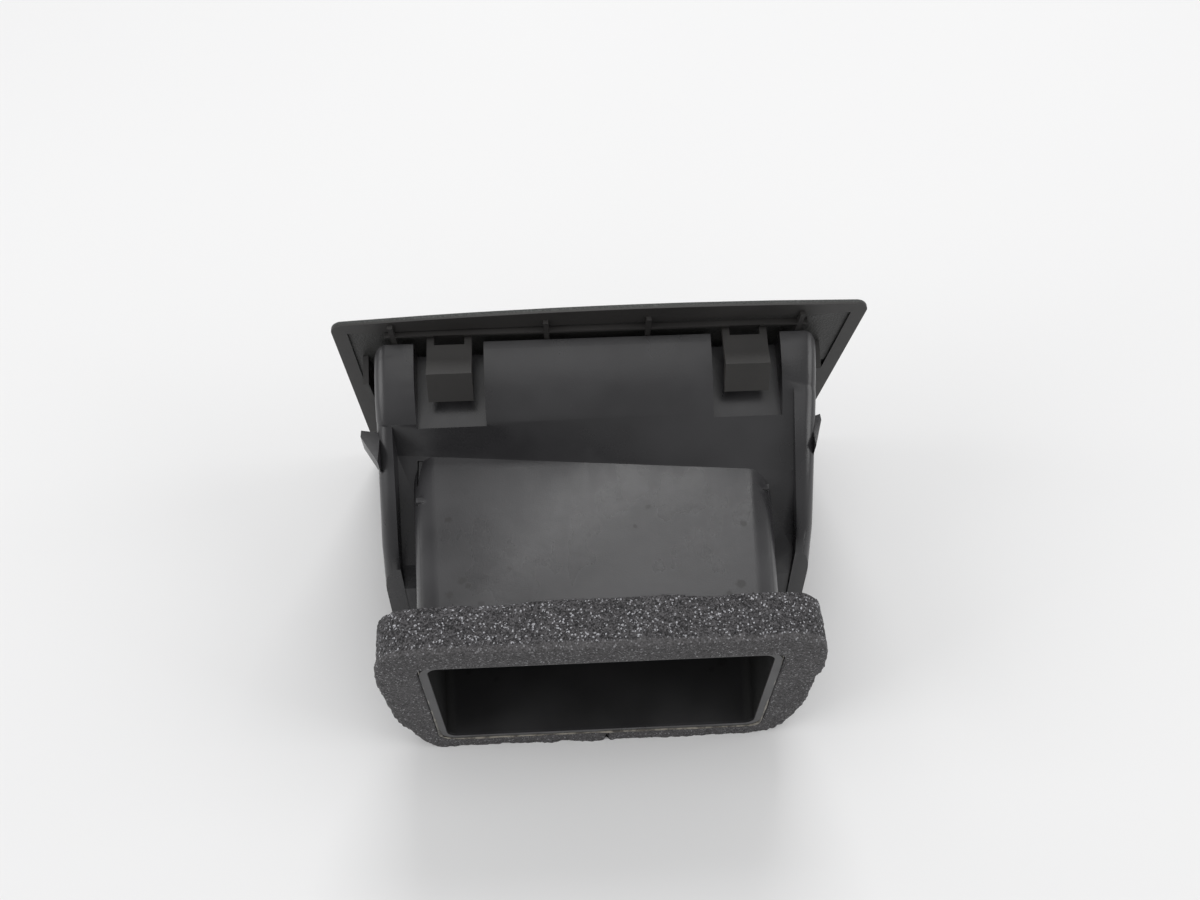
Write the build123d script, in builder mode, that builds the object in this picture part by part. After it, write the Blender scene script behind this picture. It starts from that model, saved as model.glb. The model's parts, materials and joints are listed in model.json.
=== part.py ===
from build123d import *
import os
from math import cos, sin, sqrt, radians, degrees, atan2, pi

# Dashboard air outlet with its supply duct.  Millimetres, +Z up.
# The part stands on the lower edge of its bezel and on the foam round its inlet.
# -Y is the cabin side, where the louvres look out; +Y is the inlet of the duct.
# The origin is on the surface it stands on, under the middle of the whole part.

os.makedirs("parts", exist_ok=True)

# ---------------------------------------------------------------- driving dimensions
INLET_Y = 53.98           # the inlet rim's plane
LEAN = radians(12.5)      # the bezel leans back, its top towards the inlet
BEZEL_W = 148.0
BEZEL_MID = 49.25         # height at which the bezel stands evenly on both sides of x = 0
BEZEL_TOP = (95.6, 98.5)  # heights of the two upper corners, +X and -X, along the leaning bezel
BEZEL_T = 2.0
BEZEL_SKEW = 0.036        # sideways run of the two short edges per mm of height
BEZEL_CROWN = 2.8         # rise of the upper edge at its middle
BEZEL_FOOT = 108.2        # from the inlet plane to the bezel's lower front edge

WALL = 2.2                # housing wall
DUCT_WALL = 2.4
DUCT_X = 1.8              # centre of the duct
DUCT_IN_W = 90.0          # clear width at the inlet
DUCT_IN_H = 49.1          # clear height
DUCT_FLOOR = 8.2          # height of the clear section above the table
DUCT_TAPER = 0.074        # growth of each half-width per mm away from the inlet
DUCT_R = 7.0              # outer corner radius of the duct
DUCT_IN_R = 3.0

BODY_X = -0.9             # centre of housing, carrier and window
BODY_HALF = 52.5          # half-width of the vane carrier
BODY_LOW = 14.0           # carrier's underside, measured up the bezel
BODY_TOP = 66.8
BODY_DEEP = 38.0          # carrier's rear edge, measured behind the bezel's face
BODY_WALL = 2.3
BODY_FRONT = 4.4

PIN_R = 1.25              # vane pivot pins
RUN = 0.05                # radial running clearance of pins
GAP = 0.35                # clearance between parts that pass each other

H_COUNT = 5
H_PITCH = 9.8
H_PIVOT = 9.5             # depth of the horizontal vanes' pivots
H_CHORD = 13.0
H_THICK = 2.4
H_CRANK = 5.0

V_COUNT = 7
V_PITCH = 14.0
V_PIVOT = 29.5
V_CHORD = 14.0
V_THICK = 2.0
V_CRANK = 5.0
V_LEVER = 11.0            # from the centre vane's pivot to the bar that the knob's fork holds

WHEEL_R = 12.3
WHEEL_PIVOT = 8.5
WHEEL_X = (-59.2, -55.9)
ROD_X = (-55.6, -53.8)
CRANK_X = (-57.9, -55.9)
CRANK = 6.3               # equal cranks of thumbwheel and damper
CRANK_PIN_R = 1.3
DAMPER_U = 47.0           # damper shaft, from the inlet
DAMPER_Z = 26.0
SHAFT_R = 2.0
FLAP_T = 2.0
EYE_R = 2.5               # eyes of the rod and of the damper crank

# ---------------------------------------------------------------- frames
foot = (0, INLET_Y - BEZEL_FOOT, 0)
inward = (0, cos(LEAN), -sin(LEAN))      # from the bezel's face towards the inlet
upward = (0, sin(LEAN), cos(LEAN))       # up along the bezel
outward = (0, -cos(LEAN), sin(LEAN))
face = Plane(origin=foot, x_dir=(1, 0, 0), z_dir=outward)      # (x, height up the bezel)
section = Plane(origin=foot, x_dir=inward, z_dir=(1, 0, 0))    # (depth, height), seen from +X
deck = Plane(origin=foot, x_dir=(1, 0, 0), z_dir=upward)       # (x, depth), seen from above


def leaned(depth, height):
    """A point of the leaning frame as (y, z)."""
    return (foot[1] + depth * cos(LEAN) + height * sin(LEAN), height * cos(LEAN) - depth * sin(LEAN))


def from_inlet(distance, z):
    """A point given by its distance in front of the inlet plane, as (y, z)."""
    return (INLET_Y - distance, z)


body_mid = (BODY_LOW + BODY_TOP) / 2
h_heights = [body_mid + H_PITCH * (i - (H_COUNT - 1) / 2) for i in range(H_COUNT)]
v_places = [BODY_X + V_PITCH * (i - (V_COUNT - 1) / 2) for i in range(V_COUNT)]
duct_top = DUCT_FLOOR + DUCT_IN_H + DUCT_WALL
duct_mid_z = DUCT_FLOOR + DUCT_IN_H / 2
duct_half = DUCT_IN_W / 2 + DUCT_WALL
wheel_y, wheel_z = leaned(WHEEL_PIVOT, body_mid)
damper_y = INLET_Y - DAMPER_U
rod_angle = atan2(DAMPER_Z - wheel_z, damper_y - wheel_y)
crank_angle = rod_angle + pi / 4
crank_dy = CRANK * cos(crank_angle)
crank_dz = CRANK * sin(crank_angle)

# ---------------------------------------------------------------- housing
PANEL_RISE = 87.2         # crown of the raised middle panel, up the bezel
POST_RISE = 82.3          # tops of the two side posts
POCKET_FLOOR = (79.3, 76.3)   # pocket floor at the front and at the fold
HOUSING_FRONT = 3.5       # depth of the housing's front edge
HOUSING_LOW = 10.5
HOUSING_FOOT = 3.0        # underside above the table
FOLD = (67.3, 71.6)       # rear edge of the top panel, from the inlet, and its height
POCKET = (32.0, 51.6)     # pockets, from the body's centre
SIDE_PLUS = (62.1, 62.8)  # +X side at the front and at the back
SIDE_MINUS = (-63.6, -60.5)
PLAN_FRONT, PLAN_REAR = 90.0, 38.0
SIDE_ROUND = 3.8
BARB_U = (57.5, 67.5)     # barbs on the sides, from the inlet
BARB_Z = (62.0, 68.0)
BARB_OUT = (4.4, 1.9)      # +X and -X
SIDE_BLANK = 67.0         # half-width of the blank that the sides are cut from
SHOULDER_DROP = 7.6       # from each cheek's ridge to the duct's side, at the rear
SHOULDER_U = 64.5         # where the shoulders start, from the inlet
SHOULDER_SHARE = 0.19     # the same place as a share of the ridge's slope
SHOULDER_STEPS = 6
ROOT_MID, ROOT_SKEW = 59.95, 0.09    # line where the slope meets the duct's top
low_bend = leaned((HOUSING_LOW * cos(LEAN) - HOUSING_FOOT) / sin(LEAN), HOUSING_LOW)


def root_distance(x):
    return ROOT_MID + ROOT_SKEW * x


def side_line(pair, distance):
    """x of a side of the housing at a distance from the inlet."""
    share = (PLAN_FRONT - distance) / (PLAN_FRONT - PLAN_REAR)
    return pair[0] + (pair[1] - pair[0]) * share


def side_plan(inset):
    """Outline of the housing in plan, its two side lines set in and run past both ends."""
    far, near = 120.0, -20.0
    return [
        (side_line(SIDE_PLUS, far) - inset, INLET_Y - far),
        (side_line(SIDE_PLUS, near) - inset, INLET_Y - near),
        (side_line(SIDE_MINUS, near) + inset, INLET_Y - near),
        (side_line(SIDE_MINUS, far) + inset, INLET_Y - far),
    ]


def on_side(edge):
    """Whether an edge lies in one of the housing's two side faces."""
    middle = edge.center()
    pair = SIDE_PLUS if middle.X > 0 else SIDE_MINUS
    return abs(middle.X - side_line(pair, INLET_Y - middle.Y)) < 0.05


cheek_minus = [leaned(HOUSING_FRONT, POST_RISE), from_inlet(70.0, 76.0), from_inlet(40.5, 51.6), from_inlet(36.4, 45.0)]
cheek_plus = [leaned(HOUSING_FRONT, POST_RISE), from_inlet(70.5, 73.8), from_inlet(41.0, 48.8), from_inlet(37.0, 43.0)]
rear_low = from_inlet(29.5, HOUSING_FOOT)
cavity = [
    leaned(HOUSING_FRONT - 1, HOUSING_LOW + WALL),
    leaned(HOUSING_FRONT - 1, POCKET_FLOOR[0] - WALL),
    leaned(20.0, POCKET_FLOOR[1] - WALL),
    from_inlet(70.2, 67.5),
    from_inlet(68.4, 58.6),
    from_inlet(41.6, 37.0),
    from_inlet(38.2, 33.6),
    from_inlet(32.4, HOUSING_FOOT + WALL),
    leaned((HOUSING_LOW * cos(LEAN) - HOUSING_FOOT) / sin(LEAN), HOUSING_LOW + WALL),
]


def duct_size(distance, inset):
    """Width and height of the duct's section, set in from its outside."""
    return (
        2 * (duct_half + DUCT_TAPER * distance - inset),
        DUCT_IN_H + 2 * (DUCT_WALL - inset),
    )


with BuildPart() as housing_outside:
    # the middle body is ruled between two side sections, so the slope above the duct is twisted
    for x, kink in ((SIDE_BLANK, (40.0, 40.0)), (-SIDE_BLANK, (38.0, 43.0))):
        with BuildSketch(Plane.YZ.offset(x)):
            with BuildLine():
                panel = ThreePointArc(
                    leaned(HOUSING_FRONT, PANEL_RISE), leaned(14.5, 84.4), from_inlet(*FOLD)
                )
                Polyline(
                    panel @ 1,
                    from_inlet(root_distance(x), duct_top),
                    from_inlet(*kink),
                    from_inlet(35.5, 34.0),
                    rear_low,
                    low_bend,
                    leaned(HOUSING_FRONT, HOUSING_LOW),
                    panel @ 0,
                )
            make_face()
    loft(ruled=True)
    # pockets for the two snap arms, their floor parallel to the panel
    with BuildSketch(section.offset(BODY_X - POCKET[1])):
        Polygon(
            (HOUSING_FRONT - 1, POCKET_FLOOR[0]),
            (25.0, POCKET_FLOOR[1]),
            (27.0, 90.0),
            (HOUSING_FRONT - 1, 90.0),
            align=None,
        )
    extrude(amount=POCKET[1] - POCKET[0], mode=Mode.SUBTRACT)
    with BuildSketch(section.offset(BODY_X + POCKET[0])):
        Polygon(
            (HOUSING_FRONT - 1, POCKET_FLOOR[0]),
            (25.0, POCKET_FLOOR[1]),
            (27.0, 90.0),
            (HOUSING_FRONT - 1, 90.0),
            align=None,
        )
    extrude(amount=POCKET[1] - POCKET[0], mode=Mode.SUBTRACT)
    # side cheeks: a high ridge at each side, and a post beside each pocket
    for outer, inner, ridge in ((SIDE_BLANK, 57.6, cheek_plus), (-SIDE_BLANK, -55.6, cheek_minus)):
        with BuildSketch(Plane.YZ.offset(min(outer, inner))):
            Polygon(*ridge, rear_low, low_bend, leaned(HOUSING_FRONT, HOUSING_LOW), align=None)
        extrude(amount=abs(outer - inner))
    # shoulders: each slopes in a soft S from its ridge down to the duct's side
    for start_x, end_x, ridge in ((59.2, 50.8, cheek_plus), (-57.6, -48.0, cheek_minus)):
        ridge_top = ridge[1][1] - (ridge[1][1] - ridge[2][1]) * SHOULDER_SHARE
        for step in range(SHOULDER_STEPS + 1):
            share = step / SHOULDER_STEPS
            drop = share * share * (3 - 2 * share)
            with BuildSketch(Plane.YZ.offset(start_x + (end_x - start_x) * share)):
                Polygon(
                    from_inlet(SHOULDER_U, ridge_top - 0.1 - (ridge_top - 0.1 - duct_top) * drop),
                    (ridge[2][0], ridge[2][1] - 0.1 - SHOULDER_DROP * drop),
                    (ridge[3][0], ridge[3][1] - 0.1 - SHOULDER_DROP * drop),
                    rear_low,
                    from_inlet(SHOULDER_U, HOUSING_FOOT),
                    align=None,
                )
        loft(ruled=True)
    for outer, inner, ridge in (
        (60.0, BODY_X + POCKET[1], cheek_plus),
        (-60.0, BODY_X - POCKET[1], cheek_minus),
    ):
        with BuildSketch(section.offset(min(outer, inner))):
            Polygon(
                (HOUSING_FRONT, POST_RISE),
                (23.5, 79.4),
                (24.0, 74.0),
                (HOUSING_FRONT, 74.0),
                align=None,
            )
        extrude(amount=abs(outer - inner))
    with BuildSketch(Plane.XY):
        Polygon(*side_plan(0), align=None)
    extrude(amount=100, mode=Mode.INTERSECT)
    fillet(housing_outside.edges().filter_by(lambda e: on_side(e) and e.center().Z > 40), SIDE_ROUND)

with BuildPart() as rooms:
    # the front room and the side rooms are one cavity, with the housing's side lines set in
    with BuildSketch(Plane.YZ.offset(-70)):
        Polygon(*cavity, align=None)
    extrude(amount=140)
    with BuildSketch(section.offset(BODY_X - POCKET[0] + WALL)):
        Polygon((2.5, 70), (2.5, PANEL_RISE - WALL - 0.4), (13.0, 82.4), (23.0, 77.0), (23.0, 70), align=None)
    extrude(amount=2 * (POCKET[0] - WALL))
    with BuildSketch(Plane.XY):
        Polygon(*side_plan(WALL), align=None)
    extrude(amount=100, mode=Mode.INTERSECT)

DUCT_DEEP = 68.0
with BuildPart() as duct_outside:
    for distance in (0.0, DUCT_DEEP):
        with BuildSketch(Plane.XZ.offset(distance - INLET_Y)):
            with Locations((DUCT_X, duct_mid_z)):
                RectangleRounded(*duct_size(distance, 0), DUCT_R)
    loft(ruled=True)
with BuildPart() as duct_inside:
    for distance in (-1.0, DUCT_DEEP + 1):
        with BuildSketch(Plane.XZ.offset(distance - INLET_Y)):
            with Locations((DUCT_X, duct_mid_z)):
                RectangleRounded(*duct_size(distance, DUCT_WALL), DUCT_IN_R)
    loft(ruled=True)
with BuildPart() as carrier_room:
    with BuildSketch(face.offset(-1.0)):
        with Locations((BODY_X, body_mid)):
            Rectangle(2 * BODY_HALF + 2 * GAP, BODY_TOP - BODY_LOW + 2 * GAP)
    extrude(amount=-(BODY_DEEP + 0.6 - 1.0))

SEAT_SIDE = 6.0
SEAT_EDGE = 3.0
SEAT_T = 1.6
shaft_hole_r = 3.2        # holes in the duct's sides, each holding a bush
flap_low = DAMPER_Z - DUCT_FLOOR

with BuildPart() as housing:
    add(housing_outside.part)
    add(rooms.part, mode=Mode.SUBTRACT)
    add(duct_outside.part)
    add(duct_inside.part, mode=Mode.SUBTRACT)
    add(carrier_room.part, mode=Mode.SUBTRACT)
    # front edge, parallel to the bezel
    with BuildSketch(face.offset(5)):
        Rectangle(300, 300)
    extrude(amount=-(HOUSING_FRONT + 5), mode=Mode.SUBTRACT)
    # seats for the damper: over its upper half ahead of the flap, under its lower half behind it
    for distance, low, high in (
        (DAMPER_U + 2.6, DAMPER_Z + 6, duct_top - 1),
        (DAMPER_U - 2.6 - SEAT_T, DUCT_FLOOR - 1, DAMPER_Z - 6),
    ):
        seat_half = duct_half - DUCT_WALL / 2 + DUCT_TAPER * distance
        with BuildSketch(Plane.XZ.offset(distance - INLET_Y)):
            for side in (-1, 1):
                with Locations((DUCT_X + side * (seat_half - SEAT_SIDE / 2), (low + high) / 2)):
                    Rectangle(SEAT_SIDE, high - low)
            edge_z = high - SEAT_EDGE / 2 if low > DAMPER_Z else low + SEAT_EDGE / 2
            with Locations((DUCT_X, edge_z)):
                Rectangle(2 * seat_half, SEAT_EDGE)
        extrude(amount=SEAT_T)
    # bush holes for the damper shaft
    with BuildSketch(Plane.YZ.offset(DUCT_X - duct_half - 6)):
        with Locations((damper_y, DAMPER_Z)):
            Circle(shaft_hole_r)
    extrude(amount=2 * duct_half + 12, mode=Mode.SUBTRACT)
    # retaining barbs on the two sides, their ramps towards the inlet
    for side, pair, out in ((1, SIDE_PLUS, BARB_OUT[0]), (-1, SIDE_MINUS, BARB_OUT[1])):
        wall_x = side_line(pair, 66.0)
        with BuildSketch(Plane.XY.offset(BARB_Z[0])):
            Polygon(
                (wall_x - side * 1.0, INLET_Y - BARB_U[1]),
                (wall_x + side * out, INLET_Y - BARB_U[1] - 1.0),
                (wall_x + side * out, INLET_Y - BARB_U[1] + 1.2),
                (wall_x - side * 1.0, INLET_Y - BARB_U[0]),
                align=None,
            )
        extrude(amount=BARB_Z[1] - BARB_Z[0])

housing.part.label = "housing"
export_step(housing.part, "parts/housing.step")

# ---------------------------------------------------------------- bezel
window_half = BODY_HALF - BODY_WALL - 0.4
window_low = BODY_LOW + BODY_WALL
window_top = BODY_TOP - BODY_WALL
half_w = BEZEL_W / 2
ARM_X = 41.4              # snap arms, from the body's centre
ARM_W = 12.5
ARM_TOP = 88.9
ARM_T = 2.0
CATCH_DEEP = 14.2
wheel_slot = sqrt(WHEEL_R**2 - WHEEL_PIVOT**2) + 1.5
TONGUE_X = (65.2, 64.6)   # inner faces of the side tongues, +X and -X


def bezel_outline(inset):
    """Corners of the bezel, a parallelogram set in by a border."""
    run = BEZEL_SKEW * BEZEL_MID
    w = half_w - inset
    return [
        (side * w + run - BEZEL_SKEW * rise, rise)
        for side, rise in (
            (-1, inset), (1, inset), (1, BEZEL_TOP[0] - inset), (-1, BEZEL_TOP[1] - inset)
        )
    ]


with BuildPart() as bezel:
    with BuildSketch(face) as outline:
        with BuildLine():
            low_l, low_r, top_r, top_l = bezel_outline(0)
            Line(low_l, low_r)
            Line(low_r, top_r)
            ThreePointArc(top_r, (0, (BEZEL_TOP[0] + BEZEL_TOP[1]) / 2 + BEZEL_CROWN), top_l)
            Line(top_l, low_l)
        make_face()
        fillet(outline.vertices(), 3.5)
    extrude(amount=-BEZEL_T)
    fillet(bezel.faces().filter_by(Axis(foot, outward)).sort_by(Axis(foot, outward))[-1].edges(), 1.2)
    # shallow recess of the back, inside a rim
    with BuildSketch(face.offset(-BEZEL_T)):
        Polygon(*bezel_outline(4.2), align=None)
    extrude(amount=0.6, mode=Mode.SUBTRACT)
    # air window with a sloped surround, and the slot of the thumbwheel
    with BuildSketch(face.offset(-BEZEL_T)):
        with Locations((BODY_X, body_mid)):
            RectangleRounded(2 * window_half, window_top - window_low, 3)
    extrude(amount=BEZEL_T, taper=-35, mode=Mode.SUBTRACT)
    with BuildSketch(face.offset(1)):
        with Locations(((WHEEL_X[0] + WHEEL_X[1]) / 2, body_mid)):
            Rectangle(WHEEL_X[1] - WHEEL_X[0] + 1.0, 2 * wheel_slot)
    extrude(amount=-BEZEL_T - 2, mode=Mode.SUBTRACT)
    # collar that the housing's front edge slips over, above and below
    with BuildSketch(face.offset(-BEZEL_T + 0.8)):
        with Locations((BODY_X, HOUSING_LOW + WALL + 0.65)):
            Rectangle(96, 0.8)
        with Locations((BODY_X, PANEL_RISE - WALL - 3.2)):
            Rectangle(2 * (POCKET[0] - WALL) - 4, 1.6)
    extrude(amount=-8.0)
    # gussets under the rim, and the rib that joins them
    with BuildSketch(face.offset(-BEZEL_T + 0.8)):
        for x in (-56.8, -14.2, 14.2, 56.8):
            with Locations((BODY_X + x, 90.8)):
                Rectangle(1.4, 9.6)
        with Locations((BODY_X, 90.7)):
            Rectangle(118, 0.8)
    extrude(amount=-2.0)
    # two snap arms over the pockets, each with a window at its root and a ramped catch
    for side in (-1, 1):
        x0 = BODY_X + side * ARM_X
        with BuildSketch(section.offset(x0 - ARM_W / 2)):
            Polygon(
                (BEZEL_T - 0.8, ARM_TOP - ARM_T),
                (BEZEL_T - 0.8, ARM_TOP),
                (9.0, ARM_TOP - 0.5),
                (CATCH_DEEP, ARM_TOP + 0.3),
                (CATCH_DEEP + 5.2, ARM_TOP - 6.6),
                (CATCH_DEEP + 1.4, ARM_TOP - 5.8),
                (CATCH_DEEP - 2.2, ARM_TOP - ARM_T),
                align=None,
            )
        extrude(amount=ARM_W)
        with BuildSketch(deck.offset(ARM_TOP - ARM_T - 1)):
            with Locations((x0, 3.6)):
                Rectangle(ARM_W - 4.0, 2.6)
        extrude(amount=ARM_T + 3, mode=Mode.SUBTRACT)
    # side tongues that run back beside the housing
    for side, inner in ((1, TONGUE_X[0]), (-1, TONGUE_X[1])):
        with BuildSketch(section.offset(side * inner if side > 0 else -inner - 1.6)):
            Polygon((BEZEL_T - 0.8, 50), (BEZEL_T - 0.8, 77), (9.5, 75), (9.5, 52), align=None)
        extrude(amount=1.6)
    # blind locating holes in the back
    with BuildSketch(face.offset(-BEZEL_T + 0.6)):
        with Locations((69.6 - 1.2, 62.8), (-69.6 - 0.4, 62.8)):
            Circle(1.8)
    extrude(amount=0.7, mode=Mode.SUBTRACT)
    # flat foot
    with BuildSketch(Plane.XY):
        Rectangle(2 * BEZEL_W, 2 * BEZEL_W)
    extrude(amount=-BEZEL_T, mode=Mode.SUBTRACT)
bezel.part.label = "bezel"
export_step(bezel.part, "parts/bezel.step")

# ---------------------------------------------------------------- vane carrier
pin_hole = PIN_R + RUN
with BuildPart() as vane_carrier:
    with BuildSketch(face.offset(-BODY_FRONT)):
        with Locations((BODY_X, body_mid)):
            Rectangle(2 * BODY_HALF, BODY_TOP - BODY_LOW)
            Rectangle(2 * (BODY_HALF - BODY_WALL), BODY_TOP - BODY_LOW - 2 * BODY_WALL, mode=Mode.SUBTRACT)
    extrude(amount=-(BODY_DEEP - BODY_FRONT))
    # holes for the horizontal vanes through the side walls
    with BuildSketch(section.offset(BODY_X - BODY_HALF - 1)):
        with Locations(*[(H_PIVOT, height) for height in h_heights]):
            Circle(pin_hole)
    extrude(amount=2 * BODY_HALF + 2, mode=Mode.SUBTRACT)
    # holes for the vertical vanes through the floor and the roof
    with BuildSketch(deck.offset(BODY_LOW - 1)):
        with Locations(*[(x, V_PIVOT) for x in v_places]):
            Circle(pin_hole)
    extrude(amount=BODY_TOP - BODY_LOW + 2, mode=Mode.SUBTRACT)
    # axle of the thumbwheel on the -X wall
    with BuildSketch(section.offset(WHEEL_X[0] - 0.3)):
        with Locations((WHEEL_PIVOT, body_mid)):
            Circle(SHAFT_R)
    extrude(amount=BODY_X - BODY_HALF - WHEEL_X[0] + 0.3)
vane_carrier.part.label = "vane_carrier"
export_step(vane_carrier.part, "parts/vane_carrier.step")

# ---------------------------------------------------------------- horizontal vanes
wall_x = BODY_HALF - BODY_WALL
H_LINK_X = (BODY_X + wall_x - 3.6, BODY_X + wall_x - 1.8)   # the link bar, beside the +X wall


def vane_points(depth, height, chord, thick):
    """Slim lens-shaped section of a vane, nose to the cabin."""
    half = chord / 2
    return [
        (depth - half, height),
        (depth - half * 0.7, height + thick * 0.36),
        (depth, height + thick / 2),
        (depth + half, height + thick * 0.2),
        (depth + half, height - thick * 0.2),
        (depth, height - thick / 2),
        (depth - half * 0.7, height - thick * 0.36),
    ]


for number, height in enumerate(h_heights, start=1):
    with BuildPart() as horizontal_vane:
        with BuildSketch(section.offset(BODY_X - wall_x + 0.3)):
            Polygon(*vane_points(H_PIVOT, height, H_CHORD, H_THICK), align=None)
        extrude(amount=2 * wall_x - 0.3 - 4.4)
        # pivot pin, right through
        with BuildSketch(section.offset(BODY_X - BODY_HALF)):
            with Locations((H_PIVOT, height)):
                Circle(PIN_R)
        extrude(amount=2 * BODY_HALF)
        # crank pin for the link bar
        with BuildSketch(section.offset(BODY_X + wall_x - 5.0)):
            with Locations((H_PIVOT + H_CRANK, height)):
                Circle(0.9)
        extrude(amount=3.8)
    horizontal_vane.part.label = f"horizontal_vane_{number}"
    export_step(horizontal_vane.part, f"parts/horizontal_vane_{number}.step")

with BuildPart() as horizontal_link:
    with BuildSketch(section.offset(H_LINK_X[0])):
        with Locations((H_PIVOT + H_CRANK, body_mid)):
            SlotOverall(H_PITCH * (H_COUNT - 1) + 4.0, 4.0, rotation=90)
        with Locations(*[(H_PIVOT + H_CRANK, height) for height in h_heights]):
            Circle(0.9 + RUN, mode=Mode.SUBTRACT)
    extrude(amount=H_LINK_X[1] - H_LINK_X[0])
horizontal_link.part.label = "horizontal_link"
export_step(horizontal_link.part, "parts/horizontal_link.step")

# ---------------------------------------------------------------- vertical vanes
V_LOW = BODY_LOW + BODY_WALL + 0.3
V_TOP = BODY_TOP - BODY_WALL - 4.4
V_LINK_B = (BODY_TOP - BODY_WALL - 3.4, BODY_TOP - BODY_WALL - 1.8)
BAR_REACH = 9.5           # half-height of the centre vane's window
centre = V_COUNT // 2
for number, x in enumerate(v_places, start=1):
    with BuildPart() as vertical_vane:
        with BuildSketch(deck.offset(V_LOW)):
            Polygon(*[(x + q, p) for p, q in vane_points(V_PIVOT, 0, V_CHORD, V_THICK)], align=None)
        extrude(amount=V_TOP - V_LOW)
        with BuildSketch(deck.offset(BODY_LOW)):
            with Locations((x, V_PIVOT)):
                Circle(PIN_R)
        extrude(amount=BODY_TOP - BODY_LOW)
        with BuildSketch(deck.offset(V_TOP - 1.0)):
            with Locations((x, V_PIVOT + V_CRANK)):
                Circle(0.9)
        extrude(amount=4.2)
        if number == centre + 1:
            # the window's bar, which the knob's fork holds, on two arms ahead of the blade
            with BuildSketch(section.offset(x - V_THICK / 2)):
                with Locations((V_PIVOT - V_CHORD / 2 + 2.5, body_mid)):
                    Rectangle(7.0, 2 * BAR_REACH)
            extrude(amount=V_THICK, mode=Mode.SUBTRACT)
            with BuildSketch(section.offset(x - 0.7)):
                for side in (-1, 1):
                    with Locations((V_PIVOT - V_LEVER / 2 - 2.5, body_mid + side * (BAR_REACH + 0.9))):
                        Rectangle(V_LEVER - 5, 1.8)
            extrude(amount=1.4)
            with BuildSketch(deck.offset(body_mid - BAR_REACH - 1.8)):
                with Locations((x, V_PIVOT - V_LEVER)):
                    Circle(1.1)
            extrude(amount=2 * BAR_REACH + 3.6)
    vertical_vane.part.label = f"vertical_vane_{number}"
    export_step(vertical_vane.part, f"parts/vertical_vane_{number}.step")

with BuildPart() as vertical_link:
    with BuildSketch(deck.offset(V_LINK_B[0])):
        with Locations((BODY_X, V_PIVOT + V_CRANK)):
            SlotOverall(V_PITCH * (V_COUNT - 1) + 4.0, 4.0)
        with Locations(*[(x, V_PIVOT + V_CRANK) for x in v_places]):
            Circle(0.9 + RUN, mode=Mode.SUBTRACT)
    extrude(amount=V_LINK_B[1] - V_LINK_B[0])
vertical_link.part.label = "vertical_link"
export_step(vertical_link.part, "parts/vertical_link.step")

# ---------------------------------------------------------------- knob on the middle vane
KNOB_W = 13.0
FORK_GAP = 1.1 + 0.45
with BuildPart() as knob:
    with BuildSketch(section.offset(BODY_X - KNOB_W / 2)):
        Polygon(
            (H_PIVOT - H_CHORD / 2 - 5.0, body_mid - 1.6),
            (H_PIVOT - H_CHORD / 2 - 5.0, body_mid + 1.6),
            (H_PIVOT - H_CHORD / 2 - 1.0, body_mid + 3.0),
            (H_PIVOT + H_CHORD / 2 + 0.2, body_mid + 2.6),
            (H_PIVOT + H_CHORD / 2 + 0.9, body_mid + 1.5),
            (H_PIVOT + H_CHORD / 2 + 0.9, body_mid - 1.5),
            (H_PIVOT + H_CHORD / 2 + 0.2, body_mid - 2.6),
            (H_PIVOT - H_CHORD / 2 - 1.0, body_mid - 3.0),
            align=None,
        )
        Polygon(
            *vane_points(H_PIVOT, body_mid, H_CHORD + 0.5, H_THICK + 0.7), align=None, mode=Mode.SUBTRACT
        )
    extrude(amount=KNOB_W)
    # fork that holds the centre vertical vane's bar
    for side in (-1, 1):
        inner = FORK_GAP if side > 0 else -FORK_GAP - 1.4
        with BuildSketch(section.offset(BODY_X + inner)):
            with Locations((H_PIVOT + H_CHORD / 2 + 3.4, body_mid)):
                Rectangle(6.8, 3.0)
        extrude(amount=1.4)
knob.part.label = "knob"
export_step(knob.part, "parts/knob.step")

with BuildPart() as knob_grip:
    with BuildSketch(section.offset(BODY_X - KNOB_W / 2 + 1.0)):
        with Locations((H_PIVOT - H_CHORD / 2 - 5.5, body_mid)):
            Rectangle(1.0, 3.0)
    extrude(amount=KNOB_W - 2.0)
knob_grip.part.label = "knob_grip"
export_step(knob_grip.part, "parts/knob_grip.step")

# ---------------------------------------------------------------- thumbwheel, rod and damper
with BuildPart() as thumbwheel:
    with BuildSketch(section.offset(WHEEL_X[0])):
        with Locations((WHEEL_PIVOT, body_mid)):
            Circle(WHEEL_R - 1.2)
            Circle(SHAFT_R + RUN, mode=Mode.SUBTRACT)
    extrude(amount=WHEEL_X[1] - WHEEL_X[0])
    with BuildSketch(Plane.YZ.offset(WHEEL_X[1] - 0.5)):
        with Locations((wheel_y + crank_dy, wheel_z + crank_dz)):
            Circle(CRANK_PIN_R)
    extrude(amount=ROD_X[1] - WHEEL_X[1] + 0.3)
thumbwheel.part.label = "thumbwheel"
export_step(thumbwheel.part, "parts/thumbwheel.step")

with BuildPart() as thumbwheel_grip:
    with BuildSketch(section.offset(WHEEL_X[0] + 0.3)):
        with Locations((WHEEL_PIVOT, body_mid)):
            Circle(WHEEL_R)
            Circle(WHEEL_R - 1.2, mode=Mode.SUBTRACT)
    extrude(amount=WHEEL_X[1] - WHEEL_X[0] - 0.6)
thumbwheel_grip.part.label = "thumbwheel_grip"
export_step(thumbwheel_grip.part, "parts/thumbwheel_grip.step")

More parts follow.
